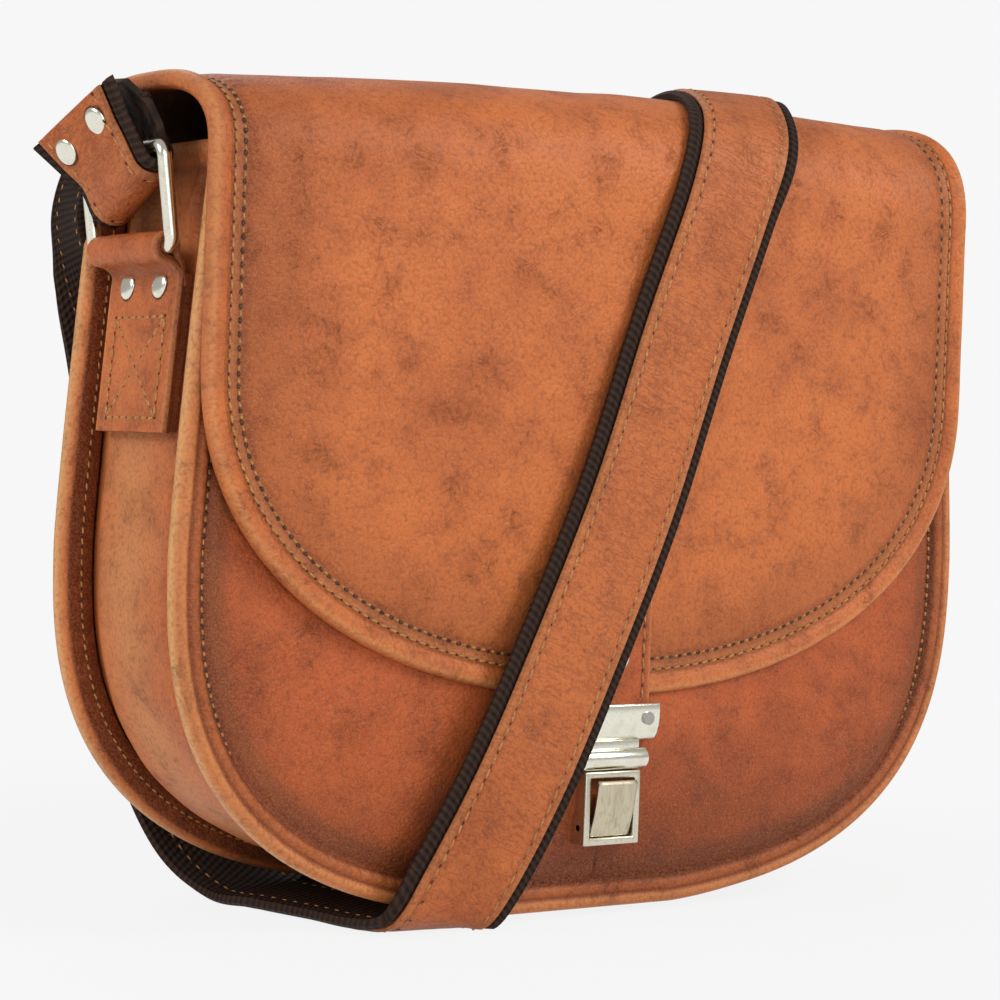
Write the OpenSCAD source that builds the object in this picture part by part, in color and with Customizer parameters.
// Saddle handbag: two panels and a gusset with bound edges, an arched flap, side rings,
// a shoulder strap that is wound once round the bag, and a press lock with a sprung button.
// X runs across the bag, Y from front to back, Z up. The bag is drawn with its lowest edge
// at z = 0 and its middle at y = 0, and stand() then sets it down on its strap.

/* [Body] */
// Width over the bindings
bag_w = 280; // [270:1:300]
// Depth over the two panels
bag_d = 70; // [66:1:74]
// Height of the panels, up to the mouth
body_h = 212; // [206:1:216]
// Height at which the bag is widest
belly_h = 102; // [90:1:110]
// Draw-in of each side at the mouth
side_draw = 9; // [6:0.5:12]
// Exponent of the draw-in
side_power = 1.2; // [1:0.1:1.6]
// Exponent of the round lower corners
corner_power = 2.7; // [2.4:0.1:3]
// Length of the straight foot
foot_w = 60; // [48:2:72]
// Thickness of the panels
panel_t = 2.2; // [1.6:0.1:2.6]
// Thickness of the gusset
gusset_t = 2; // [1.4:0.1:2.4]
// Width of the gusset's seam flange
flange_w = 6; // [4.5:0.5:7]
// Thickness of the linings
lining_t = 1; // [0.6:0.1:1.2]
// Thickness of the bindings of the body
bind_t = 1.3; // [0.9:0.1:1.5]
// Width of the binding on the face of a panel
bind_w = 9.5; // [8:0.5:11]

/* [Flap] */
// Width of the flap
flap_w = 272; // [262:1:272]
// Height of the flap's hinge line and of its front corner
flap_z = 206; // [203:1:208]
// Rise of the arch above the hinge line
arch_h = 30; // [28:0.5:31]
// Exponent of the arch
arch_power = 2.6; // [2.2:0.1:2.8]
// Height of the flap's lower edge
flap_low = 62; // [61.5:0.5:66]
// Height at which the flap starts to round in
flap_round = 152; // [140:1:165]
// Exponent of the flap's lower edge
flap_power = 2.2; // [2:0.1:2.4]
// Thickness of the flap's leather
flap_t = 1.8; // [1.4:0.1:2]
// Thickness of the flap's binding
flap_bind_t = 1.2; // [0.8:0.1:1.3]
// Width of the flap's binding
flap_bind_w = 7.5; // [6:0.5:9]
// Room between the body's binding and the flap's binding
flap_gap = 0.4; // [0.3:0.1:0.8]
// Height of the strip that holds the flap on the back
back_strip_h = 16; // [12:1:24]
// Width of that strip
back_strip_w = 256; // [220:2:256]
// Opening of the flap at its hinge line, half of it at each end face
hinge_gap = 0.4; // [0.3:0.1:0.6]

/* [Side tabs and rings] */
// Width of the tabs
tab_w = 39; // [36:0.5:39]
// Height of a tab's lower end
tab_low = 133; // [125:1:140]
// Thickness of one layer of a tab
tab_t = 2.2; // [1.8:0.1:2.4]
// Room between tab and gusset
tab_gap = 0.3; // [0.1:0.1:0.5]
// Radius of the ring's wire
ring_r = 2; // [1.6:0.1:2.2]
// Width of a ring between its side wires
ring_in_w = 40; // [39.6:0.2:42]
// Distance between a ring's two bars
ring_h = 26.5; // [25:0.5:28]
// Radius of a ring's corners at the wire's middle
ring_corner = 3; // [2.6:0.1:3.1]
// Height of the lower bar, on which the ring turns
ring_z = 182; // [180:1:184]
// Distance of the lower bar from the bag's middle
ring_x = 137; // [136:0.5:139]
// Lean of the rings outward
ring_lean = 8; // [4:1:12]
// Running clearance of the bar in the tab
ring_fit = 0.08; // [0.03:0.01:0.1]
// Radius of a side rivet's cap
rivet_r = 3.8; // [3:0.1:4.2]
// Height of a cap's dome
rivet_dome = 1; // [0.6:0.1:1.4]
// Height of a cap's rim
rivet_rim = 0.4; // [0.3:0.1:0.6]
// Radius of a rivet's shank
shank_r = 1.5; // [1:0.1:1.7]
// Clearance round a shank or a screw
shank_fit = 0.05; // [0.03:0.01:0.1]
// Distance between the two rivets of a pair
rivet_pitch = 18; // [15:1:20]
// Height of the tab's rivets
rivet_z = 172.5; // [171:0.5:172.5]

/* [Strap] */
// Width of the webbing
web_w = 38.6; // [36:0.2:38.6]
// Thickness of the webbing
web_t = 1.4; // [1:0.1:1.5]
// Width of the leather strip on the webbing
strip_w = 30; // [26:1:32]
// Thickness of the leather strip
strip_t = 2; // [1.6:0.1:2.2]
// Room between the leather strip and the webbing along the free strap
strip_gap = 0.3; // [0.2:0.1:0.4]
// Half of the opening in the fold at a ring
fold_r = 2.6; // [2.5:0.1:2.6]
// Lean of the fold outward
fold_lean = 14; // [10:1:18]
// Turn of the fold across the bar
fold_turn = 24; // [23:1:25]
// Distance of the bar above the middle of the fold's round end
fold_drop = 9.2; // [9:0.1:9.4]
// How far the fold hangs behind the ring's middle
fold_back = 3.1; // [3:0.1:3.2]
// Height of the fold's rivets above that middle
fold_rivet = 17.6; // [17.4:0.1:17.6]
// Height of the fold's long leg
fold_long = 22; // [21.9:0.1:22]
// Height of the fold's short leg
fold_short = 21.9; // [21.8:0.1:21.9]
// Height of the bag's foot above the strap's lower face
lift = 2.4; // [2:0.1:3.4]
// Distance of the bag's middle in front of the middle of everything
bag_ahead = 13.6; // [0:0.1:16]

/* [Lock] */
// Width of the lock's tongue on the flap
tongue_w = 25; // [22:1:26]
// Height of the tongue's upper end
tongue_top = 108; // [100:1:116]
// Height of the tongue's lower end
tongue_low = 51; // [50.5:0.5:53]
// Thickness of the tongue
tongue_t = 2.2; // [1.8:0.1:2.4]
// Height of the tongue's rivet
tongue_rivet_z = 73.5; // [71:0.5:78]
// Width of the hasp
hasp_w = 30; // [28:1:34]
// Height of the hasp's lower end
hasp_low = 49; // [48.5:0.5:50]
// Height of the hasp's upper end
hasp_top = 60.5; // [58:0.5:61]
// Wall of the hasp, in front of and behind the tongue
hasp_t = 1.4; // [1:0.1:1.5]
// Height of the hasp's screws
hasp_screw_z = 55.8; // [54:0.1:58]
// Distance of a hasp screw from the middle
hasp_screw_x = 10.6; // [9:0.1:11]
// Radius of the screws' heads
screw_head_r = 1.9; // [1.6:0.1:2.2]
// Height of the screws' heads
screw_head_t = 0.7; // [0.5:0.1:0.8]
// Radius of the screws
screw_r = 1.1; // [0.9:0.1:1.2]
// Length of the barrel under the hasp
barrel_w = 23; // [20:1:26]
// Radius of the barrel
barrel_r = 3.1; // [2.6:0.1:3.2]
// Width of the neck between hasp and barrel
neck_w = 18; // [14:1:20]
// Width of the case
case_w = 20; // [20:0.5:24]
// Height of the case's lower end
case_low = 19.5; // [18:0.5:20]
// Height of the case's upper end
case_top = 40.8; // [40:0.1:41]
// Depth of the case in front of its base plate
case_d = 8; // [7.5:0.1:8.4]
// Thickness of the base plate
base_t = 1; // [0.8:0.1:1.2]
// Width by which the base plate shows round the case
base_rim = 0.6; // [0.4:0.1:1]
// Wall of the case at its sides
case_side = 2.5; // [2.2:0.1:2.8]
// Wall of the case above and below the window
case_end = 1.8; // [1.4:0.1:2]
// Room beside the button
button_gap = 0.4; // [0.3:0.1:0.5]
// Room above and below the button
button_end_gap = 0.7; // [0.6:0.1:0.8]
// Thickness of the button
button_t = 1.6; // [1.3:0.1:1.8]
// Distance by which the button's upper end stands out of the case
button_out = 3; // [2.6:0.1:3.4]
// Distance by which its lower end lies inside the case
button_in = 0.8; // [0.6:0.1:1]
// Radius of the button's pin
pin_r = 0.9; // [0.7:0.05:1]
// Running clearance of the button on its pin
pin_fit = 0.06; // [0.03:0.01:0.1]
// Distance of the pin behind the case's front
pin_in = 3; // [2.8:0.1:3.2]
// Distance of the pin above the window's lower end
pin_up = 3.2; // [3:0.1:3.6]
// Thickness of the button's spring
spring_t = 0.4; // [0.3:0.1:0.5]
// Width of the button's spring
spring_w = 5; // [4:0.5:5]
// Height of the spring's foot on the base plate
spring_low = 28.5; // [27.5:0.5:29]
// Height at which the spring bends away from the base plate
spring_bend = 31; // [30.5:0.5:31.5]
// Height of the spring's tip behind the button
spring_top = 36; // [35:0.5:37]
// Room between the spring's tip and the button
spring_room = 0.35; // [0.3:0.05:0.5]
// Width of the plate inside the bag
inner_w = 18; // [16:1:20]
// Thickness of the plate inside the bag
inner_t = 0.8; // [0.6:0.1:1]

/* [Hidden] */
$fn = 48;

// Body
half_w = bag_w / 2;
half_d = bag_d / 2;
side_steps = 10;
corner_steps = 14;
strip_x = flange_w + gusset_t;
flange_y = half_d - panel_t;
strip_y = flange_y - gusset_t;
lining_y = flange_y - lining_t;

// Flap, counted from the body's binding outwards
flap_in = half_d + bind_t + flap_gap;
flap_lining_in = flap_in + flap_bind_t;
flap_leather_in = flap_lining_in + lining_t;
flap_skin = flap_leather_in + flap_t;
flap_face = flap_skin + flap_bind_t;
back_skin = half_d + bind_t + panel_t;
// Height that the flap's lining and inner binding keep above the body's mouth at the back
mouth_gap = 0.6;
arch_y = (back_skin - flap_skin) / 2;
arch_half = (back_skin + flap_skin) / 2;
arch_steps = 30;
flap_steps = 16;

// Tabs and rings
tab_slope = atan((gusset_x(tab_low) - gusset_x(rivet_z)) / (rivet_z - tab_low));
// Height at which a tab leaves the gusset for its roll round the ring
tab_bend_z = 176.6;
tab_l = (tab_bend_z - tab_low) / cos(tab_slope);
// A corner of a tab's outline: out of the gusset and up the tab
function tab_corner(out, up) =
    [gusset_x(tab_low) + (tab_gap + out) * cos(tab_slope) - up * sin(tab_slope),
     tab_low + (tab_gap + out) * sin(tab_slope) + up * cos(tab_slope)];
roll_r = ring_r + tab_t;
// Place of tabs and rings on the gusset, from its middle
ring_y = -1;
// Clearance under a rivet's washer, where the gusset's lining slants
washer_gap = 0.3;
ring_half = ring_in_w / 2 + ring_r;
bar_x = ring_x + ring_h * sin(ring_lean);
bar_z = ring_z + ring_h * cos(ring_lean);

// Lock, counted from the front panel outwards
tongue_back = flap_face;
tongue_face = tongue_back + tongue_t;
hasp_face = tongue_face + hasp_t;
case_back = half_d + base_t;
case_face = case_back + case_d;
window_w = case_w - 2 * case_side;
window_low = case_low + case_end;
window_top = case_top - case_end;
pin_y = case_face - pin_in;
pin_z = window_low + pin_up;
// Radius of the button's lug round its pin
lug_r = 2;
// Place of the barrel's middle, above the foot and in front of the bag's middle
barrel_z = 44.3;
barrel_y = 42.6;
// Place of the two screws that hold the base plate
lock_screw_x = 4.5;
lock_screw_z = 33;

// Strap route: the place of the seam between webbing and leather, in the bag's own frame,
// and the direction across the strap, with the leather on the outside. Chosen by eye.
// A third value is the share of its width that the strap keeps where it is drawn together.
behind = 65;
loop_lie = 58.5;
front_lie = 48;
sole = strip_gap + strip_t - lift;
route_steps = 3;
left_drop = [
    [[-149, 13.2, 226], [-0.05, -0.70, 0.71], 0.8],
    [[-150.2, 21.5, 230], [0.02, -0.35, 0.93], 0.6],
    [[-150.2, 31, 229], [0.12, 0.15, 0.98], 0.5],
    [[-148.5, 39.5, 222.5], [0.25, 0.60, 0.76], 0.5],
    [[-147.2, 46.5, 212], [0.38, 0.65, 0.65], 0.48],
    [[-143.6, 51.8, 199.5], [0.55, 0.42, 0.72], 0.44],
    [[-135.5, 57, 185], [0.78, 0.25, 0.57], 0.48],
    [[-124.5, 60.8, 170], [0.89, 0.10, 0.44], 0.7],
    [[-113.5, 63.5, 153.5], [0.94, 0.02, 0.34], 0.9],
    [[-104.5, behind, 136.5], [0.96, 0, 0.27]],
    [[-98.8, behind, 115], [0.97, 0, 0.20]],
    [[-94, behind, 80], [0.98, 0, 0.15]]];
under_pass = [
    [[-87.5, 62.5, 44], [0.97, 0.05, 0.20]],
    [[-79.5, 52.5, 16], [0.96, 0.16, 0.20]],
    [[-72, 35, 1.1], [0.97, 0.22, 0.06]],
    [[-68, 15, sole], [0.98, 0.20, 0]],
    [[-63, -6, sole], [0.98, 0.20, 0]],
    [[-59.5, -24, sole], [0.98, 0.20, 0]],
    [[-57, -35.5, 0.8], [0.97, 0.20, -0.10]],
    [[-52.5, -43.5, 9], [0.93, 0.04, -0.36]]];
front_climb = [
    [[-37, -front_lie, 40], [0.90, 0, -0.43]],
    [[-18, -front_lie, 80], [0.90, 0, -0.43]],
    [[-0.5, -47, 120], [0.91, 0, -0.41]],
    [[17, -46, 165], [0.92, 0, -0.39]],
    [[33, -45, 205], [0.93, 0, -0.38]],
    [[42.5, -38.5, 227], [0.94, -0.16, -0.28]],
    [[51.5, -20, 239.5], [0.94, -0.33, -0.08]],
    [[59, 0, 241.2], [0.94, -0.34, 0]],
    [[67, 22, 237], [0.94, -0.30, 0.10]],
    [[75, 43, 221], [0.93, -0.12, 0.33]],
    [[83, 58, 190], [0.94, 0, 0.25]],
    [[88, behind, 140], [0.99, 0, 0.10]]];
right_loop = [
    [[90, 62, 105], [0.75, 0.65, 0.05]],
    [[92, loop_lie, 74], [0.10, 1, 0]],
    [[97, loop_lie, 48], [0, 1, 0]],
    [[110, loop_lie, 36], [0, 1, 0]],
    [[123, loop_lie, 48], [0, 1, 0]],
    [[128, loop_lie, 74], [-0.10, 1, 0]],
    [[130, 60, 104], [-0.60, 0.80, 0.05]],
    [[131, 62, 134], [-0.95, 0.25, 0.25]],
    [[127.5, 61.5, 156], [-0.93, 0, 0.25], 0.85]];
route = concat(fold_ends(), left_drop, under_pass, front_climb, right_loop,
               mirrored_route([for (i = [0 : 6]) left_drop[i]]), mirrored_route(fold_ends()));
left_from = 1;
under_from = left_from + len(left_drop);
wrap_from = under_from + len(under_pass);
right_from = wrap_from + len(front_climb);
right_to = len(route) - 2;

// Direction along the left fold, across it and out of it
function fold_t() = turned([0, 0, 1]);
function fold_w() = turned([0, -1, 0]);
function fold_n() = turned([-1, 0, 0]);
function turned(v) =
    let (a = [v[0], v[1] * cos(fold_turn) + v[2] * sin(fold_turn),
              v[2] * cos(fold_turn) - v[1] * sin(fold_turn)])
    [a[0] * cos(fold_lean) - a[2] * sin(fold_lean), a[1],
     a[0] * sin(fold_lean) + a[2] * cos(fold_lean)];
function fold_at(up) = [-bar_x, ring_y + fold_back, bar_z] + fold_t() * (up - fold_drop)
    + fold_n() * (fold_r + web_t);
function fold_ends() = [for (up = [fold_long - fold_drop, fold_long]) [fold_at(up), fold_w()]];
function flipped(v) = [-v[0], v[1], v[2]];
function mirrored_route(r) = [for (i = [len(r) - 1 : -1 : 0])
    [flipped(r[i][0]), flipped(r[i][1]), r[i][2]]];

// Half width of the body and of its gusset at a height above the belly
function side_x(z) = half_w - side_draw * pow((z - belly_h) / (body_h - belly_h), side_power);
function gusset_x(z) = side_x(z) - flange_w;

// Outlines: from the right end of the mouth, round the bottom, to the left end
function with_left(pts) = concat(pts,
    [for (i = [len(pts) - 1 : -1 : 0]) if (pts[i][0] > 0) [-pts[i][0], pts[i][1]]]);
corner_end = acos(pow(foot_w / bag_w, corner_power / 2));
body_line = with_left(concat(
    [for (i = [0 : side_steps]) let (z = body_h - (body_h - belly_h) * i / side_steps) [side_x(z), z]],
    [for (i = [1 : corner_steps - 1]) let (a = corner_end * i / corner_steps)
        [half_w * pow(cos(a), 2 / corner_power), belly_h * (1 - pow(sin(a), 2 / corner_power))]],
    [[foot_w / 2, 0]]));
flap_line = with_left(concat(
    [[flap_w / 2, flap_z - hinge_gap / 2]],
    [for (i = [0 : flap_steps]) let (a = 90 * i / flap_steps)
        [flap_w / 2 * pow(cos(a), 2 / flap_power),
         flap_round - (flap_round - flap_low) * pow(sin(a), 2 / flap_power)]]));
function inset(pts, d) = [for (i = [0 : len(pts) - 1])
    let (end = i == 0 || i == len(pts) - 1,
         v = pts[min(i + 1, len(pts) - 1)] - pts[max(i - 1, 0)])
    pts[i] + d * (end ? [-sign(pts[i][0]), 0] : [v[1], -v[0]] / norm(v))];
function reversed(pts) = [for (i = [len(pts) - 1 : -1 : 0]) pts[i]];

// The arch of the flap seen from the right, a depth under its skin
function arch(d) = [for (i = [0 : arch_steps]) let (a = 180 * i / arch_steps)
    [arch_y + (arch_half - d) * sign(cos(a)) * pow(abs(cos(a)), 2 / arch_power),
     flap_z + hinge_gap / 2 + (arch_h - d) * pow(abs(sin(a)), 2 / arch_power)]];

// A smooth line through stations a to d, between b and c, and its direction
function between(a, b, c, d, t) = b + ((c - a) * t + (2 * a - 5 * b + 4 * c - d) * t * t
    + (3 * b - a - 3 * c + d) * t * t * t) / 2;
function along(a, b, c, d, t) = (c - a) / 2 + (2 * a - 5 * b + 4 * c - d) * t
    + (3 * b - a - 3 * c + d) * t * t * 3 / 2;
function station(i, k) = route[min(max(i, 0), len(route) - 1)][k];
function share(i) = is_undef(station(i, 2)) ? 1 : station(i, 2);
function frame_at(i, t) =
    let (p = between(station(i - 1, 0), station(i, 0), station(i + 1, 0), station(i + 2, 0), t),
         d = along(station(i - 1, 0), station(i, 0), station(i + 1, 0), station(i + 2, 0), t),
         u = d / norm(d),
         e = between(station(i - 1, 1), station(i, 1), station(i + 1, 1), station(i + 2, 1), t),
         f = e - (e * u) * u,
         w = f / norm(f))
    [p, w, cross(w, u), between(share(i - 1), share(i), share(i + 1), share(i + 2), t)];
function frames(from, to) = concat(
    [for (i = [from : to - 1], s = [0 : route_steps - 1]) frame_at(i, s / route_steps)],
    [frame_at(to - 1, 1)]);

// The strap leaves its two folds square to their legs
function squared(list, from, to) = [for (i = [0 : len(list) - 1])
    from == left_from && i == 0 ? [list[i][0], fold_w(), fold_n(), 1]
    : to == right_to && i == len(list) - 1 ? [list[i][0], flipped(fold_w()), flipped(fold_n()), 1]
    : list[i]];

// A plate across the bag between two depths, from an outline
module slab(pts, y1, y2)
    translate([0, y2, 0]) rotate([90, 0, 0]) linear_extrude(height = y2 - y1) polygon(pts);

// A strip that follows an outline between two insets
module band(line, d1, d2, y1, y2)
    slab(concat(inset(line, d1), reversed(inset(line, d2))), y1, y2);

// A strip along X with its outline in Y and Z
module along_x(x1, x2, pts)
    translate([x1, 0, 0]) rotate([90, 0, 90]) linear_extrude(height = x2 - x1) polygon(pts);

// A box between two corners
module block(a, b) translate(a) cube(b - a);

// A pin along Y between two depths
module pin_along_y(x, z, r, y1, y2)
    translate([x, y2, z]) rotate([90, 0, 0]) cylinder(r = r, h = y2 - y1);

// A pin along X between two places
module pin_along_x(y, z, r, x1, x2)
    translate([x1, y, z]) rotate([0, 90, 0]) cylinder(r = r, h = x2 - x1);

// A domed rivet along +Z with its shank down to a small washer
module rivet(r, shank) {
    rotate_extrude() polygon(concat([[0, 0], [r, 0], [r, rivet_rim]],
        [for (a = [15 : 15 : 75]) [r * cos(a), rivet_rim + rivet_dome * sin(a)]],
        [[0, rivet_rim + rivet_dome]]));
    translate([0, 0, -shank]) cylinder(r = shank_r, h = shank);
    translate([0, 0, -shank - rivet_rim]) cylinder(r = (r + shank_r) / 2, h = rivet_rim);
}

// A swept strip with an outline [across, out]. The facets of its outer faces lean the other way,
// so that two strips face to face on one route stay parallel.
module strip(list, outline, outer) {
    pts = [for (f = list, c = outline) f[0] + f[1] * (f[3] * c[0]) + f[2] * c[1]];
    n = len(list);
    m = len(outline);
    polyhedron(points = pts, faces = concat(
        [for (j = [1 : m - 2]) [0, j + 1, j]],
        [for (i = [0 : n - 2], j = [0 : m - 1]) let (k = (j + 1) % m)
            j >= outer ? [m * i + j, m * i + m + k, m * i + m + j] : [m * i + j, m * i + k, m * i + m + j]],
        [for (i = [0 : n - 2], j = [0 : m - 1]) let (k = (j + 1) % m)
            j >= outer ? [m * i + j, m * i + k, m * i + m + k] : [m * i + k, m * i + m + k, m * i + m + j]],
        [for (j = [1 : m - 2]) [m * n - m, m * n - m + j, m * n - m + j + 1]]));
}
module webbing(from, to) color("#2b211c")
    strip(squared(frames(from, to), from, to), [
        [-web_w / 2, -web_t], [-strip_w / 2, -web_t], [strip_w / 2, -web_t], [web_w / 2, -web_t],
        [web_w / 2, 0], [strip_w / 2, 0], [-strip_w / 2, 0], [-web_w / 2, 0]], 3);
module strap_leather(from, to) color("#b06a3c")
    strip(squared(frames(from, to), from, to), [
        [-strip_w / 2, strip_gap], [strip_w / 2, strip_gap],
        [strip_w / 2, strip_gap + strip_t], [-strip_w / 2, strip_gap + strip_t]], 1);

// Body
module front_panel() color("#b5652f") difference() {
    slab(inset(body_line, bind_t), -half_d, -flange_y);
    lock_screw_holes();
}
module back_panel() color("#b5652f") slab(inset(body_line, bind_t), flange_y, half_d);
module gusset() color("#bf7338") difference() {
    union() {
        band(body_line, flange_w, strip_x, -flange_y, flange_y);
        band(body_line, bind_t, strip_x, -flange_y, -strip_y);
        band(body_line, bind_t, strip_x, strip_y, flange_y);
    }
    for (side = [-1, 1]) tab_rivet_holes(side);
}
module body_binding() {
    band(body_line, 0, bind_t, -half_d - bind_t, -strip_y + bind_t);
    band(body_line, 0, bind_w, -half_d - bind_t, -half_d);
    band(body_line, 0, flange_w, -strip_y, -strip_y + bind_t);
}
module front_binding() color("#c98243") body_binding();
module back_binding() color("#c98243") mirror([0, 1, 0]) body_binding();
module front_lining() color("#5a4636") difference() {
    slab(inset(body_line, strip_x), -flange_y, -lining_y);
    lock_screw_holes();
}
module back_lining() color("#5a4636") slab(inset(body_line, strip_x), lining_y, flange_y);
module gusset_lining() color("#5a4636") difference() {
    band(body_line, strip_x, strip_x + lining_t, -lining_y, lining_y);
    for (side = [-1, 1]) tab_rivet_holes(side);
}

// Flap
module flap_back_strip() color("#b5652f")
    block([-back_strip_w / 2, half_d + bind_t, flap_z - back_strip_h],
          [back_strip_w / 2, back_skin, flap_z - hinge_gap / 2]);
module arch_layer(x1, x2, d1, d2) along_x(x1, x2, concat(arch(d1), reversed(arch(d2))));
module flap_top_leather() color("#b9672f")
    arch_layer(flap_bind_t - flap_w / 2, flap_w / 2 - flap_bind_t, 0, flap_t);
module above_mouth() difference() {
    children();
    block([-half_w, 0, 0], [half_w, back_skin - flap_t, body_h + mouth_gap]);
}
module flap_top_lining() color("#6b4f3a") above_mouth()
    arch_layer(flap_bind_t - flap_w / 2, flap_w / 2 - flap_bind_t, flap_t, flap_t + lining_t);
module flap_top_bindings() color("#c98243") for (side = [0, 1]) mirror([side, 0, 0]) {
    edge = flap_w / 2;
    above_mouth() arch_layer(edge - flap_bind_t, edge, -flap_bind_t, flap_t + lining_t + flap_bind_t);
    arch_layer(edge - flap_bind_w, edge, -flap_bind_t, 0);
    above_mouth()
        arch_layer(edge - flap_bind_w, edge, flap_t + lining_t, flap_t + lining_t + flap_bind_t);
}
module tongue_rivet_hole()
    pin_along_y(0, tongue_rivet_z, shank_r + shank_fit, -tongue_face - tongue_t, -flap_in);
module flap_front_leather() color("#b9672f") difference() {
    slab(inset(flap_line, flap_bind_t), -flap_skin, -flap_leather_in);
    tongue_rivet_hole();
}
module flap_front_lining() color("#6b4f3a") difference() {
    slab(inset(flap_line, flap_bind_t), -flap_leather_in, -flap_lining_in);
    tongue_rivet_hole();
}
module flap_front_binding() color("#c98243") {
    band(flap_line, 0, flap_bind_t, -flap_face, -flap_in);
    band(flap_line, 0, flap_bind_w, -flap_face, -flap_skin);
    band(flap_line, 0, flap_bind_w, -flap_lining_in, -flap_in);
}

// Lock, the half on the flap
module hasp_screw_holes() for (side = [-1, 1])
    pin_along_y(side * hasp_screw_x, hasp_screw_z, screw_r + shank_fit,
                -hasp_face - hasp_t, -tongue_back + hasp_t);
module flap_tongue() color("#b5652f") difference() {
    block([-tongue_w / 2, -tongue_face, tongue_low], [tongue_w / 2, -tongue_back, tongue_top]);
    tongue_rivet_hole();
    hasp_screw_holes();
}
module tongue_rivet() color("#e9e2cf")
    translate([0, -tongue_face, tongue_rivet_z]) rotate([90, 0, 0])
        rivet(rivet_r, tongue_face - flap_lining_in);
module hasp_plate() color("#d8d2c0") difference() {
    block([-hasp_w / 2, -hasp_face, hasp_low], [hasp_w / 2, -tongue_back + hasp_t, hasp_top]);
    block([-tongue_w / 2 - shank_fit, -tongue_face, tongue_low],
          [tongue_w / 2 + shank_fit, -tongue_back, hasp_top + hasp_t]);
    hasp_screw_holes();
}
module hasp_barrel() color("#d8d2c0") {
    pin_along_x(-barrel_y, barrel_z, barrel_r, -barrel_w / 2, barrel_w / 2);
    block([-neck_w / 2, -barrel_y - hasp_t, barrel_z], [neck_w / 2, -barrel_y + hasp_t, hasp_low]);
}
module hasp_screws() color("#c9c3b2") for (side = [-1, 1]) {
    pin_along_y(side * hasp_screw_x, hasp_screw_z, screw_head_r, -hasp_face - screw_head_t, -hasp_face);
    pin_along_y(side * hasp_screw_x, hasp_screw_z, screw_r, -hasp_face, -tongue_back + hasp_t);
}

// Lock, the half on the bag
module lock_screw_holes() for (side = [-1, 1])
    pin_along_y(side * lock_screw_x, lock_screw_z, screw_r + shank_fit, -case_face, 0);
module lock_case() color("#b9b09a") difference() {
    block([-case_w / 2, -case_face, case_low], [case_w / 2, -case_back, case_top]);
    block([-window_w / 2, -case_face - case_end, window_low],
          [window_w / 2, case_end - case_back, window_top]);
    pin_along_x(-pin_y, pin_z, pin_r, -case_w, case_w);
}
module lock_base_plate() color("#8d8675") difference() {
    block([-case_w / 2 - base_rim, -case_back, case_low - base_rim],
          [case_w / 2 + base_rim, -half_d, case_top + base_rim]);
    lock_screw_holes();
}
module lock_inner_plate() color("#8d8675") difference() {
    block([-inner_w / 2, -lining_y, window_low], [inner_w / 2, inner_t - lining_y, window_top]);
    lock_screw_holes();
}
module lock_screws() color("#c9c3b2") for (side = [-1, 1]) {
    pin_along_y(side * lock_screw_x, lock_screw_z, screw_head_r, -case_back - screw_head_t, -case_back);
    pin_along_y(side * lock_screw_x, lock_screw_z, screw_r, -case_back, inner_t - lining_y);
}
module lock_button() color("#cfc39c") difference() {
    union() {
        along_x(button_gap - window_w / 2, window_w / 2 - button_gap, [
            [button_in - case_face, window_low + button_end_gap],
            [button_in + button_t - case_face, window_low + button_end_gap],
            [button_t - button_out - case_face, window_top - button_end_gap],
            [-button_out - case_face, window_top - button_end_gap]]);
        pin_along_x(-pin_y, pin_z, lug_r, button_gap - window_w / 2, window_w / 2 - button_gap);
    }
    pin_along_x(-pin_y, pin_z, pin_r + pin_fit, -case_w, case_w);
}
module lock_button_pin() color("#8d8675") pin_along_x(-pin_y, pin_z, pin_r, -case_w / 2, case_w / 2);
module lock_spring() color("#77715f") {
    share = (spring_top - window_low - button_end_gap) / (window_top - window_low - 2 * button_end_gap);
    tip_y = button_in + button_t - case_face - share * (button_in + button_out) + spring_room;
    along_x(-spring_w / 2, spring_w / 2, [
        [-case_back, spring_low], [-case_back, spring_bend + spring_t], [tip_y, spring_top],
        [tip_y, spring_top - spring_t], [-case_back - spring_t, spring_bend],
        [-case_back - spring_t, spring_low]]);
}

// Side tabs and rings, drawn on the right
module at_tab(z) translate([gusset_x(z), ring_y, z]) rotate([0, -tab_slope, 0]) children();
module tab_rivet_holes(side) mirror([side < 0 ? 1 : 0, 0, 0]) for (y = [-1, 1] * rivet_pitch / 2)
    at_tab(rivet_z) translate([0, y, 0]) pin_along_x(0, 0, shank_r + shank_fit, -strip_x, strip_x);
module ring_tab() color("#a9602f") difference() {
    union() {
        translate([0, ring_y + tab_w / 2, 0]) rotate([90, 0, 0]) linear_extrude(height = tab_w) polygon([
            tab_corner(0, 0), tab_corner(2 * tab_t, 0), tab_corner(2 * tab_t, tab_l),
            [ring_x + roll_r / 3, ring_z], [ring_x, ring_z + 2 * roll_r / 3], tab_corner(0, tab_l)]);
        translate([ring_x, ring_y + tab_w / 2, ring_z]) rotate([90, 0, 0]) cylinder(r = roll_r, h = tab_w);
    }
    translate([ring_x, ring_y + tab_w, ring_z]) rotate([90, 0, 0])
        cylinder(r = ring_r + ring_fit, h = 2 * tab_w);
    for (y = [-1, 1] * rivet_pitch / 2)
        at_tab(rivet_z) translate([0, y, 0]) pin_along_x(0, 0, shank_r + shank_fit, -strip_x, strip_x);
}
module tab_rivets() color("#e9e2cf") for (y = [-1, 1] * rivet_pitch / 2)
    at_tab(rivet_z) translate([tab_gap + 2 * tab_t, y, 0]) rotate([0, 90, 0])
        rivet(rivet_r, tab_gap + 2 * tab_t + gusset_t + lining_t + washer_gap);
module wire_corner() rotate_extrude(angle = 90) translate([ring_corner, 0]) circle(r = ring_r);
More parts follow.
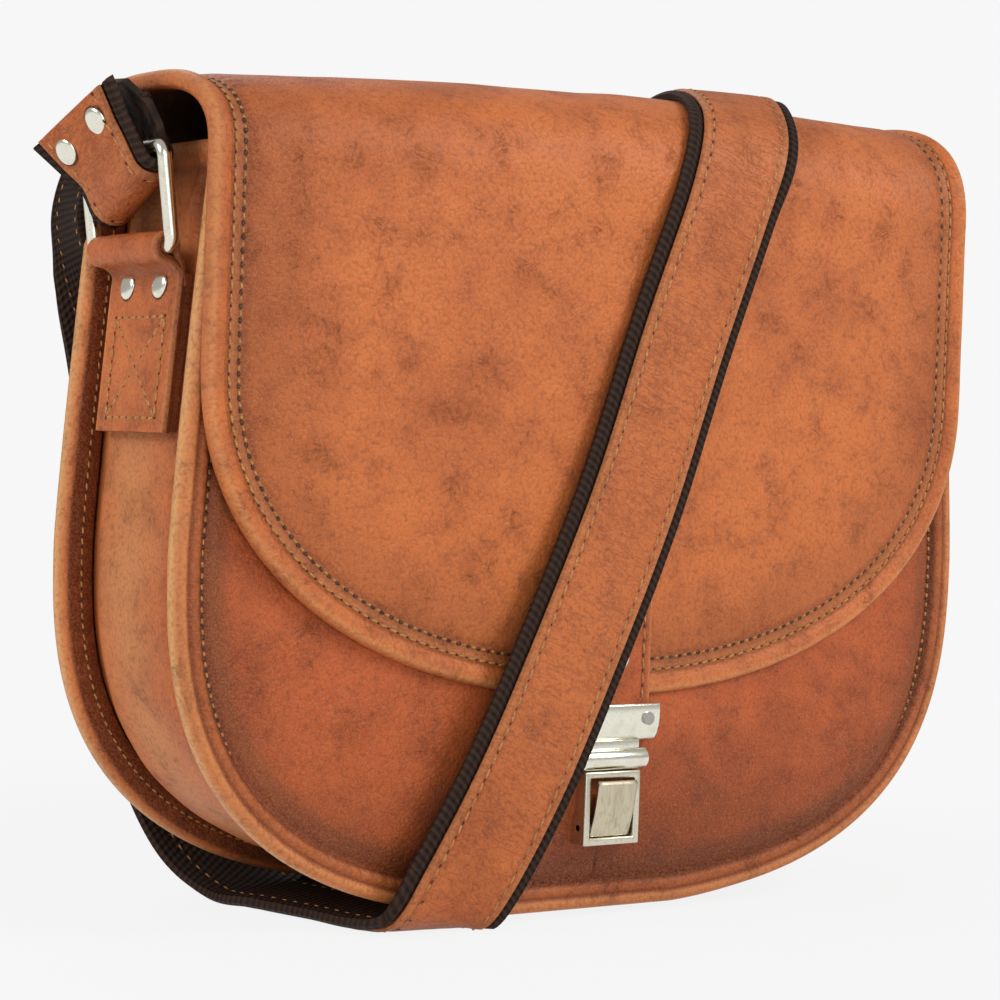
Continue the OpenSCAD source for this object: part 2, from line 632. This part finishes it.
module side_ring() color("#e3dcc8")
    translate([ring_x, ring_y, ring_z]) rotate([0, ring_lean, 0]) rotate([90, 0, 90]) {
        a = ring_half - ring_corner;
        for (v = [0, ring_h]) translate([-a, v, 0]) rotate([0, 90, 0]) cylinder(r = ring_r, h = 2 * a);
        for (u = [-ring_half, ring_half]) translate([u, ring_corner, 0]) rotate([-90, 0, 0])
            cylinder(r = ring_r, h = ring_h - 2 * ring_corner);
        translate([a, ring_h - ring_corner, 0]) wire_corner();
        translate([-a, ring_h - ring_corner, 0]) rotate(90) wire_corner();
        translate([-a, ring_corner, 0]) rotate(180) wire_corner();
        translate([a, ring_corner, 0]) rotate(270) wire_corner();
    }

// The strap's fold round the upper bar, drawn on the left in the fold's own frame:
// X towards the bag, Y across the strap, Z up the long leg
module at_fold() translate([-bar_x, ring_y + fold_back, bar_z]) rotate([-fold_turn, -fold_lean, 0])
    translate([0, 0, -fold_drop]) children();
module fold_layer(w, r1, r2) rotate([90, 0, 0]) translate([0, 0, -w / 2]) {
    linear_extrude(height = w) polygon([[-r2, 0], [-r1, 0], [-r1, fold_long], [-r2, fold_long]]);
    linear_extrude(height = w) polygon([[r1, 0], [r2, 0], [r2, fold_short], [r1, fold_short]]);
    rotate([0, 0, 180]) rotate_extrude(angle = 180) polygon([[r1, 0], [r2, 0], [r2, w], [r1, w]]);
}
module fold_rivet_holes() for (y = [-1, 1] * rivet_pitch / 2)
    translate([0, y, fold_rivet]) pin_along_x(0, 0, shank_r + shank_fit, -strip_x, strip_x);
module fold_webbing() color("#2b211c") at_fold() difference() {
    fold_layer(web_w, fold_r, fold_r + web_t);
    fold_rivet_holes();
}
module fold_leather() color("#b06a3c") at_fold() difference() {
    fold_layer(strip_w, fold_r + web_t, fold_r + web_t + strip_t);
    fold_rivet_holes();
}
module fold_rivets() color("#e9e2cf") at_fold() for (y = [-1, 1] * rivet_pitch / 2)
    translate([-fold_r - web_t - strip_t, y, fold_rivet]) rotate([0, -90, 0])
        rivet(rivet_r, 2 * (fold_r + web_t + strip_t));

// Sets the bag down with the strap's lower face on the ground
module stand() translate([0, -bag_ahead, lift]) children();
module flip() mirror([1, 0, 0]) children();

stand() front_panel();
stand() back_panel();
stand() gusset();
stand() front_binding();
stand() back_binding();
stand() front_lining();
stand() back_lining();
stand() gusset_lining();
stand() flap_back_strip();
stand() flap_top_leather();
stand() flap_top_lining();
stand() flap_top_bindings();
stand() flap_front_leather();
stand() flap_front_lining();
stand() flap_front_binding();
stand() flap_tongue();
stand() tongue_rivet();
stand() hasp_plate();
stand() hasp_barrel();
stand() hasp_screws();
stand() lock_case();
stand() lock_base_plate();
stand() lock_inner_plate();
stand() lock_screws();
stand() lock_button();
stand() lock_button_pin();
stand() lock_spring();
stand() flip() ring_tab();  // left_ring_tab
stand() flip() tab_rivets();  // left_tab_rivets
stand() flip() side_ring();  // left_ring
stand() fold_webbing();  // left_strap_end_webbing
stand() fold_leather();  // left_strap_end_leather
stand() fold_rivets();  // left_strap_end_rivets
stand() ring_tab();  // right_ring_tab
stand() tab_rivets();  // right_tab_rivets
stand() side_ring();  // right_ring
stand() flip() fold_webbing();  // right_strap_end_webbing
stand() flip() fold_leather();  // right_strap_end_leather
stand() flip() fold_rivets();  // right_strap_end_rivets
stand() webbing(left_from, under_from);  // strap_left_webbing
stand() strap_leather(left_from, under_from);  // strap_left_leather
stand() webbing(under_from, wrap_from);  // strap_under_webbing
stand() strap_leather(under_from, wrap_from);  // strap_under_leather
stand() webbing(wrap_from, right_from);  // strap_wrap_webbing
stand() strap_leather(wrap_from, right_from);  // strap_wrap_leather
stand() webbing(right_from, right_to);  // strap_right_webbing
stand() strap_leather(right_from, right_to);  // strap_right_leather
